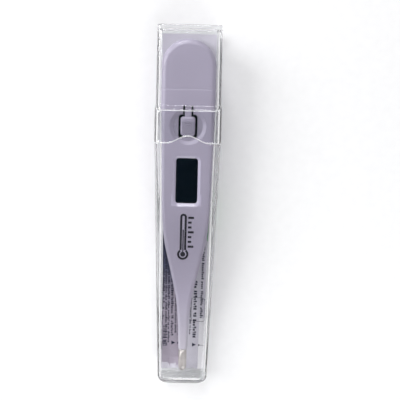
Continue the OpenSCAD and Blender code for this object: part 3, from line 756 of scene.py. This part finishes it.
def battery_cover():
    """A hollow round-ended cover with a hollow spigot that enters the body."""
    radius = (cover_hi[0] - cover_lo[0]) / 2
    centre_y = END_Y - radius
    shell = pill("battery_door", PART_Y, radius, BODY_T / 2 - 0.1, EDGE_R, centre_y)
    inside = pill("cut", PART_Y + 0.6, radius - BODY_WALL, BODY_T / 2 - BODY_WALL, 1.2, centre_y)
    apply_boolean(shell, inside)
    spigot_hw, spigot_half = 8.6, 3.6
    apply_boolean(shell, bar(spigot_hw, spigot_half, 1.1, cover_lo[1], PART_Y + 0.3), "UNION")
    apply_boolean(shell, bar(spigot_hw - 1, spigot_half - 1, 0.6, cover_lo[1] - 1, PART_Y + 2))
    return shell


finish_piece(battery_cover(), "battery_cover", "body_plastic", "battery_cover", sharp=28)


def power_key():
    """The pad, its tongue, the stem over the snap disc and two grip ridges."""
    key_w, top, bottom = key_hi[0] - key_lo[0], FRONT - 0.2, FRONT - 1.5
    profile = [(1.6, bottom), (0.12, bottom), (0.03, bottom + 0.05), (0, bottom + 0.15)]
    profile += [(inset, top - drop) for inset, drop in (
        (0, 0.62), (0.02, 0.52), (0.08, 0.41), (0.18, 0.30), (0.31, 0.20), (0.47, 0.115), (0.65, 0.05),
        (0.84, 0.012), (1.0, 0), (1.7, 0))]
    rings = [plan_rect(key_w - 2 * inset, KEY_L - 2 * inset, max(0.35, 1.0 - 0.4 * inset),
                       key_lo[1] + KEY_L / 2, z) for inset, z in profile]
    key = build("key_pad", *skin(rings))
    tongue = [plan_rect(w, l, r, y, bottom + dz) for w, l, r, y, dz in (
        (2.3, 4.3, 0.2, 36.08, 0.02), (2.5, 4.35, 0.25, 36.075, 0.12),
        (2.5, 4.35, 0.25, 36.075, 0.75), (2.38, 4.3, 0.2, 36.08, 0.85))]
    apply_boolean(key, build("cut", *skin(tongue)), "UNION")
    foot = key_lo[2]
    stem = [(0.01, foot), (0.95, foot), (1.1, foot + 0.15), (1.1, bottom + 0.3), (0.01, bottom + 0.3)]
    apply_boolean(key, build("cut", *lathe(stem, "Z", (0, STEM_Y, 0), 40)), "UNION")
    for dy in (4.0, 5.0):
        ridge = [plan_rect(w, l, r, key_lo[1] + dy, top + dz, side=4) for w, l, r, dz in (
            (2.9, 0.52, 0.25, -0.1), (2.9, 0.52, 0.25, -0.01),
            (2.76, 0.40, 0.19, 0.10), (2.56, 0.20, 0.09, 0.17))]
        apply_boolean(key, build("cut", *skin(ridge)), "UNION")
    return key


key_piece = finish_piece(power_key(), "power_key", "body_plastic", "power_key", sharp=28)
# the key's top: the same rougher finish, darker as painted shade
add_finish(key_piece, TEXTURED_PAINTED_SHADE, lambda x, y, z, n: (
    abs(x) < 2.2 and key_lo[1] + 0.5 < y < key_lo[1] + 5.4 and z > FRONT - 0.3))


def snap_disc():
    """The shallow sprung disc under the key, drawn at rest. The real disc flattens onto the board as the key
    goes down.
    """
    radius, rise, thick = (dome_hi[0] - dome_lo[0]) / 2, 0.4, 0.12
    share = [k / 12 for k in range(13)]
    under = [(max(radius * t, 0.01), dome_lo[2] + rise * (1 - t * t)) for t in share]
    over = [(r - (0.03 if r > radius - 0.01 else 0), z + thick) for r, z in reversed(under)]
    return build("snap_disc", *lathe(under + over, "Z", (0, DISC_Y, 0), 64))


disc_piece = finish_piece(snap_disc(), "thermometer", "spring_steel", "switch_dome", sharp=40)
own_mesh(disc_piece)


def metal_tip():
    """The drawn cap: a blunt nose, a rolled groove below the collar and a shank inside it."""
    r = (tip_hi[0] - tip_lo[0]) / 2
    nose = 2.1
    profile = [(0.02, TIP_Y)]
    for i in range(1, 15):
        a = math.pi / 2 * i / 14
        profile.append((r * math.sin(a) ** 0.92, TIP_Y + nose * (1 - math.cos(a))))
    profile += [(r, TIP_Y + 3.2), (r, TIP_Y + 5.0)]
    profile += [(r - inset, COLLAR_Y + dy) for inset, dy in (
        (0, -1.05), (0.03, -0.95), (0.09, -0.88), (0.09, -0.62), (0.03, -0.55), (0, -0.45), (0, -0.08),
        (0.04, -0.02), (0.25, 0.01))]
    profile += [(r - 0.26, tip_hi[1] - 0.05), (r - 0.35, tip_hi[1]), (r - 0.45, tip_hi[1]),
                (r - 0.45, COLLAR_Y), (0.02, COLLAR_Y)]
    return build("metal_tip", *lathe(profile, "Y", (0, 0, ZC), 72))


finish_piece(metal_tip(), "thermometer", "stainless_tip", "probe_tip", sharp=35)


# -------- generic print on the body

def plate_on(surface, outline, lift, thick):
    """A thin closed plate that follows a surface. The outline is in X and Y, convex or nearly so."""
    n = len(outline)
    top = [(x, y, surface(x, y) + lift) for x, y in outline]
    bottom = [(x, y, surface(x, y) + lift - thick) for x, y in outline]
    faces = [tuple(range(n)), tuple(range(2 * n - 1, n - 1, -1))]
    faces += [(j, (j + 1) % n, n + (j + 1) % n, n + j) for j in range(n)]
    return top + bottom, faces


def gather(parts, name):
    """One mesh of many small solids."""
    verts, faces = [], []
    for v, f in parts:
        faces += [tuple(i + len(verts) for i in one) for one in f]
        verts += v
    return build(name, verts, faces)


def strip(x0, x1, y0, y1, pieces=1):
    """A rectangle cut across Y, so that it follows a curved surface."""
    ys = [y0 + (y1 - y0) * k / pieces for k in range(pieces + 1)]
    return [[(x0, a), (x1, a), (x1, b), (x0, b)] for a, b in zip(ys, ys[1:])]


def arc_points(x, y, r, start, sweep, steps):
    angles = [start + sweep * k / steps for k in range(steps + 1)]
    return [(x + r * math.cos(a), y + r * math.sin(a)) for a in angles]


def pictogram():
    """A thermometer sign with a scale of plain ticks."""
    shapes = []
    cx, bulb_y, bulb_r, dot_r = -0.85, -17.7, 2.15, 0.95
    tube_r, tube_top, line = 1.25, -2.1, 0.80

    def band(outer, inner):
        for (a, b), (c, d) in zip(zip(outer, outer[1:]), zip(inner, inner[1:])):
            shapes.append([a, b, d, c])

    def curved_band(y, r, start, sweep, steps):
        band(*(arc_points(cx, y, radius, start, sweep, steps) for radius in (r, r - line)))

    start = math.asin(tube_r / bulb_r)
    curved_band(bulb_y, bulb_r, math.pi / 2 + start, 2 * math.pi - 2 * start, 36)
    neck = bulb_y + bulb_r * math.cos(start) - 0.1
    for side in (-1, 1):
        x0, x1 = sorted((cx + side * tube_r, cx + side * (tube_r - line)))
        shapes.extend(strip(x0, x1, neck, tube_top - tube_r, 8))
    curved_band(tube_top - tube_r, tube_r, 0, math.pi, 14)
    shapes.append(arc_points(cx, bulb_y, dot_r, 0, 2 * math.pi, 24)[:-1])
    shapes.extend(strip(cx - 0.22, cx + 0.22, bulb_y + 0.7, -8.2, 7))
    for k in range(7):
        y, x0 = -3.6 - 1.85 * k, cx + 1.75
        x1 = x0 + (2.2 if k % 3 == 0 else 1.35)
        shapes += strip(x0, x1, y - 0.42, y + 0.42)
    return gather([plate_on(body_front, shape, 0.012, 0.02) for shape in shapes], "pad_print")


finish_piece(pictogram(), "thermometer", "body_plastic", material=INK)


# -------- leaflet

SHEET_LOW, SHEET_HIGH = sheet_lo[1] + 0.4, sheet_hi[1]
SHEET_TOP, LAYERS, PLY, PITCH = sheet_hi[2], 5, 0.06, 0.11
LOW_HALF, WIDENING = 8.05, 0.0205  # half its width at the low end, and what each millimetre of Y adds
GREEN_STRIP, WHITE_TOP, LILAC_TOP = (-13.5, 6.5), -44.8, 8


def half_sheet(y):
    """Half the leaflet's width at y."""
    return min(LOW_HALF + (y - SHEET_LOW) * WIDENING, sheet_hi[0])


def wing(y):
    """Where the right edge is turned up along the wall, 1 in the middle of that stretch."""
    return min(1.0, max(0.0, (y + 17) / 9)) * min(1.0, max(0.0, (33 - y) / 10))


def curl(x, y):
    """The sides rise where the case narrows, the low end is crumpled, and the sheet is never quite flat."""
    turned = max(0.0, (x / half_sheet(y) - 0.93) / 0.1) ** 3 * wing(y) * (
        2.6 + 0.5 * math.sin(y * 1.1) + 0.4 * math.sin(y * 2.3))
    narrow = min(1.0, max(0.0, (8 - y) / 70))
    side = max(0.0, (abs(x) / half_sheet(y) - 0.5) / 0.5)
    lift = 0.27 * side ** 3 + 1.35 * narrow ** 1.3 * side ** 2
    end = min(1.0, max(0.0, (SHEET_LOW + 7 - y) / 7))
    crumple = (math.sin(x * 1.1 + y * 0.5) * math.sin(x * 0.45 - y * 1.3 + 1)
               + 0.6 * math.sin(x * 2.3 - y * 0.9)
               + 0.55 * math.sin(x * 2.9 + y * 2.1) * math.sin(y * 2.6 - x * 1.2))
    wave = 0.06 * math.sin(y * 0.21 + x * 0.3) * narrow
    raised = 0.30 * end * max(-1.0, crumple)
    return lift + turned + raised + 0.25 * end + 2.1 * max(0.0, end - 0.35) ** 2 + max(0, wave)


def leaflet():
    """One ribbon folded to and fro, closed at its ends."""
    fine, across = 8, 40  # closer stations where the low end is crumpled
    stations = [SHEET_LOW + fine * k / 26 for k in range(26)]
    stations += [SHEET_LOW + fine + (SHEET_HIGH - SHEET_LOW - fine) * k / 72 for k in range(73)]

    def path(y):
        half = half_sheet(y)
        points = []
        for layer in range(LAYERS):
            z = SHEET_TOP - PLY / 2 - PITCH * layer
            inset = 0.10 * (layer % 2) + 0.04 * layer
            share = [math.sin(math.pi / 2 * (-1 + 2 * k / across)) for k in range(across + 1)]
            xs = [t * (half - 0.15 - inset) for t in share]
            xs = [x * (1 + 0.045 * wing(y)) if x > 0 else x for x in xs]
            if layer % 2:
                xs = xs[::-1]
            points += [(x, z) for x in xs]
            if layer < LAYERS - 1:
                s = 1 if layer % 2 == 0 else -1
                for k in range(1, 4):
                    a = math.pi * k / 4
                    points.append((xs[-1] + s * PITCH / 2 * math.sin(a), z - PITCH / 2 * (1 - math.cos(a))))
        return points

    def outline(y):
        mid = path(y)
        sides = []
        for s in (1, -1):
            one = []
            for k, (x, z) in enumerate(mid):
                a, b = mid[max(k - 1, 0)], mid[min(k + 1, len(mid) - 1)]
                dx, dz = b[0] - a[0], b[1] - a[1]
                n = math.hypot(dx, dz) or 1
                one.append((x - s * dz / n * PLY / 2, z + s * dx / n * PLY / 2))
            sides.append(one)
        loop = sides[0] + sides[1][::-1]
        return [(x, y, z + curl(x, y)) for x, z in loop]

    rings = [outline(y) for y in stations]
    n, m = len(rings[0]), len(rings)
    verts, faces = skin(rings)
    faces = faces[:-2]  # the folded ends are closed in short steps instead
    for first in (0, (m - 1) * n):
        for k in range(n // 2 - 1):
            faces.append((first + k, first + k + 1, first + n - 2 - k, first + n - 1 - k))
    return build("instruction_sheet", verts, faces)


def in_darker_lilac(x, y):
    """Left of the middle, with a ragged edge close to the low end."""
    edge = 1.7 + 0.8 * math.sin(x * 1.3 + 1) * math.sin(x * 0.6 + 2) + 0.35 * math.sin(x * 4.1)
    return x < 0 and SHEET_LOW + edge < y < LILAC_TOP


sheet_piece = finish_piece(leaflet(), "case_base", "paper", "leaflet", sharp=50)
add_finish(sheet_piece, LEAFLET_GREEN, lambda x, y, z, n: (
    GREEN_STRIP[0] < y < GREEN_STRIP[1] and x > 0.955 * half_sheet(y)))
add_finish(sheet_piece, LEAFLET_WHITE, lambda x, y, z, n: y < WHITE_TOP and x > 0.77 * half_sheet(y))
# a darker lilac left of the middle, up to LILAC_TOP
add_finish(sheet_piece, LEAFLET_LILAC, lambda x, y, z, n: in_darker_lilac(x, y))


ROW_Y = -33.5
TINT_LIFT, INK_LIFT, BULLET_LIFT, INK_THICK = 0.006, 0.012, 0.014, 0.016


def on_sheet(x, y):
    """Rows fan out with the sheet. The place is given where the row crosses ROW_Y."""
    return x * half_sheet(y) / half_sheet(ROW_Y)


def sheet_top(x, y):
    return SHEET_TOP + curl(x, y)


def sheet_plate(parts, corners, lift=INK_LIFT):
    """One printed patch on the leaflet's face."""
    parts.append(plate_on(sheet_top, [(on_sheet(x, y), y) for x, y in corners], lift, INK_THICK))


def sheet_mark(parts, x0, x1, y0, y1, lift=INK_LIFT):
    sheet_plate(parts, ((x0, y0), (x1, y0), (x1, y1), (x0, y1)), lift)


def dashes(parts, x, size, y0, y1, weight):
    """A row of plain strokes, bolder up the sheet, grouped like words but with no letters in them."""
    y, left = y0 + random.random(), random.randint(3, 8)
    while y < y1:
        if left == 0:
            left = random.randint(2, 9)
            y += size * 0.6
            continue
        left -= 1
        wide = size * random.uniform(0.42, 0.62)
        tall = size * random.choice((0.64, 0.68, 0.95, 1.0))
        x0, kind = x - size / 2, random.randint(0, 3)
        stroke = size * weight * (1 + 0.5 * min(1.0, max(0.0, (y + 50) / 25)))
        sheet_mark(parts, x0, x0 + tall, y, y + stroke)
        if kind in (0, 2):
            sheet_mark(parts, x0, x0 + tall * 0.9, y + wide - stroke, y + wide)
        if kind in (1, 2, 3):
            sheet_mark(parts, x0 + tall * 0.4, x0 + tall * 0.4 + stroke, y, y + wide)
        if kind in (0, 3):
            sheet_mark(parts, x0 + tall - stroke, x0 + tall, y, y + wide)
        y += wide + size * 0.2


def bullet(parts, x, y, size):
    """A plain triangle pointing along X, cut in slices so that it follows the curl."""
    for k in range(8):
        wide, narrow = size * 0.8 * (1 - k / 8), size * 0.8 * (1 - (k + 1) / 8)
        x0, x1 = x + size * (0.2 * k - 0.8), x + size * (0.2 * k - 0.6)
        corners = [(x0, y - wide), (x1, y - narrow), (x1, y + narrow + 0.001), (x0, y + wide)]
        sheet_plate(parts, corners, BULLET_LIFT)


def ruled_box(parts, x0, x1, y0, y1, corner, half_line):
    """A thin rounded frame, cut in short lengths. x0 to y1 are the centres of its corners."""
    places = ((x1, y1, 0), (x0, y1, 90), (x0, y0, 180), (x1, y0, 270))
    points = [(x + corner * math.cos(a), y + corner * math.sin(a))
              for x, y, quarter in places for a in [math.radians(quarter + k * 15) for k in range(7)]]
    for (ax, ay), (bx, by) in zip(points, points[1:] + points[:1]):
        d = math.hypot(bx - ax, by - ay)
        nx, ny = -(by - ay) / d * half_line, (bx - ax) / d * half_line
        pieces = max(1, int(d / 1.5))
        for k in range(pieces):
            p, q = k / pieces, (k + 1) / pieces
            px, py = ax + (bx - ax) * p, ay + (by - ay) * p
            qx, qy = ax + (bx - ax) * q, ay + (by - ay) * q
            sheet_plate(parts, ((px + nx, py + ny), (qx + nx, qy + ny),
                                (qx - nx, qy - ny), (px - nx, py - ny)))


def leaflet_print():
    """Rows of plain dashes in place of words, with two bullets of each size and a ruled box."""
    parts = []
    rows = [(-7.95, 1.15, -57, -4, 0.36), (-6.75, 0.85, -56, -5, 0.34), (-5.75, 0.85, -55, -7, 0.34),
            (-4.40, 1.05, -52.3, -4, 0.28), (-3.00, 0.75, -51, -6, 0.26), (-1.75, 0.85, -52, -10, 0.24),
            (-0.60, 0.75, -51, -6, 0.22), (0.55, 0.75, -51, -8, 0.22), (1.70, 0.75, -50, -6, 0.22),
            (2.90, 0.75, -51, -9, 0.22), (4.65, 1.35, -53, -5, 0.24), (7.15, 1.05, -44.5, -6, 0.28)]
    for row in rows:
        dashes(parts, *row)
    for x, y, size in ((-3.8, -54.3, 1.0), (4.7, -55.0, 1.0), (-1.7, -54.3, 0.6), (6.9, -55.0, 0.55)):
        bullet(parts, x, y, size)
    ruled_box(parts, 4.2, 7.1, -44.6, -37.2, 1.0, 0.07)
    return gather(parts, "sheet_print")


def tint_block(name, x0, x1, y0, y1):
    """A flat of printed colour and painted shade, cut small so that it follows the curl."""
    parts = []
    nx, ny = int((x1 - x0) / 0.45), int((y1 - y0) / 2)
    xs = [x0 + (x1 - x0) * i / nx for i in range(nx + 1)]
    ys = [y0 + (y1 - y0) * j / ny for j in range(ny + 1)]
    for left, right in zip(xs, xs[1:]):
        for low, high in zip(ys, ys[1:]):
            sheet_mark(parts, left, right, low, high, TINT_LIFT)
    return gather(parts, name)


finish_piece(leaflet_print(), "case_base", "paper", material=LEAFLET_INK)
# the navy block: print with painted shade
finish_piece(tint_block("sheet_tint_blue_and_shade", *BLUE_AND_SHADE_BLOCK), "case_base", "paper", material=LEAFLET_BLUE_AND_SHADE)


# -------- floor, light and camera

def floor():
    bpy.ops.mesh.primitive_plane_add(size=3.0, location=(0, 0, -0.0002))
    plane = bpy.context.object
    plane.name = "floor"
    mat, nodes, links, bsdf = new_material("pale_floor", {"Roughness": 0.9, "Specular IOR Level": 0.1})
    grain = noise(nodes, links, coordinates(nodes, links), 300.0, 3.0)
    colour = ramp(nodes, links, grain, [(0.3, (0.86, 0.86, 0.86)), (0.7, (0.88, 0.88, 0.88))])
    links.new(colour, bsdf.inputs["Base Color"])
    plane.data.materials.append(mat)


def sky():
    """Pale near the horizon and dark overhead, so that the clear faces do not mirror it."""
    world = bpy.data.worlds.new("studio")
    scene.world = world
    world.use_nodes = True
    nodes, links = world.node_tree.nodes, world.node_tree.links
    background = nodes["Background"]
    coord = nodes.new("ShaderNodeTexCoord")
    split = nodes.new("ShaderNodeSeparateXYZ")
    links.new(coord.outputs["Generated"], split.inputs[0])
    tone = ramp(nodes, links, split.outputs["Z"], [
        (0.0, (0.60, 0.60, 0.61)), (0.3, (0.50, 0.50, 0.51)), (0.7, (0.34, 0.34, 0.36)),
        (0.93, (0.010, 0.012, 0.018))])
    links.new(tone, background.inputs["Color"])
    background.inputs["Strength"].default_value = 1.0


def softbox(name, location, target, size, power, shape=(1.0, 1.0)):
    light = bpy.data.lights.new(name, "AREA")
    light.shape = "RECTANGLE"
    light.size, light.size_y = size * shape[0], size * shape[1]
    light.energy = power
    obj = bpy.data.objects.new(name, light)
    scene.collection.objects.link(obj)
    obj.location = location
    obj.rotation_euler = (Vector(target) - Vector(location)).to_track_quat("-Z", "Y").to_euler()


floor()
sky()
softbox("key_light", (-0.80, 0.30, 0.44), (0, 0, 0), 0.44, 6.4)
softbox("fill_light", (0.50, -0.45, 0.62), (0, 0, 0), 0.40, 1.2)
softbox("end_light", (-0.22, 0.86, 0.36), (0, 0, 0), 0.36, 5.2, (1.0, 0.6))
softbox("line_light", (-0.05, 0.545, 0.84), (0, 0, 0), 0.36, 1.7, (1.0, 0.4))
softbox("low_light", (0.06, -0.27, 0.20), (0, -0.05, 0), 0.14, 0.38)

# the photo's view: its tilt off straight down, its sideways lean and roll, its distance, and its focal
# length and picture width in pixels
TILT, LEAN, ROLL = math.radians(6.87), math.radians(-0.8), math.radians(-1.4)
DISTANCE, FOCAL, PICTURE, SENSOR = 0.4217, 1104, 400, 36
middle = Vector((0, 0, 8.0)) * MM
aim = Vector((5.33, 2.62, 8.0)) * MM
toward = Vector((math.sin(LEAN), math.sin(TILT) * math.cos(LEAN), math.cos(TILT) * math.cos(LEAN)))
camera_data = bpy.data.cameras.new("camera")
camera_data.sensor_width = SENSOR
camera_data.lens = FOCAL / PICTURE * SENSOR
camera_data.clip_start = 0.01
camera = bpy.data.objects.new("camera", camera_data)
scene.collection.objects.link(camera)
camera.location = middle + toward * DISTANCE
back = (camera.location - aim).normalized()
up = Vector((math.sin(ROLL), math.cos(ROLL), 0))
right = up.cross(back).normalized()
up = back.cross(right)
camera.matrix_world = Matrix((
    (right.x, up.x, back.x, camera.location.x),
    (right.y, up.y, back.y, camera.location.y),
    (right.z, up.z, back.z, camera.location.z),
    (0, 0, 0, 1)))
scene.camera = camera
cycles = scene.cycles
cycles.max_bounces, cycles.glossy_bounces = 18, 10
cycles.transmission_bounces, cycles.transparent_max_bounces = 14, 24
scene.view_settings.view_transform = "Standard"
scene.view_settings.look = "None"

bpy.context.view_layer.update()
